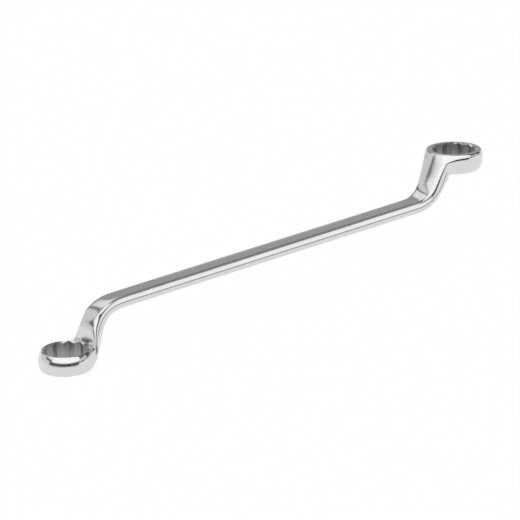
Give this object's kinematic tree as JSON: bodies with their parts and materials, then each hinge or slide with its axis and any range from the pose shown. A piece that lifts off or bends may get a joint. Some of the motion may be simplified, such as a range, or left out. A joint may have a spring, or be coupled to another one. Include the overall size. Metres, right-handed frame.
{
  "type": "ring spanner",
  "caption": "Double-ended ring spanner with deep offset twelve-point rings, one below and one above a slim straight shank, chrome plated.",
  "frame": {"origin": "centre of the tool's bounding box, close to the middle of the shank", "axes": "+X along the shank from the 20 mm ring to the 22 mm ring, +Z along both ring axes, towards the nut side of the 22 mm ring, Y across the tool's plane of symmetry"},
  "size_m": [0.3066, 0.0324, 0.0516],
  "materials": {
    "chromium_plate": "bright satin chromium plate over forged chrome-vanadium steel"
  },
  "bodies": {
    "root": {"ring_spanner_forging": "chromium_plate"}
  },
  "joints": []
}
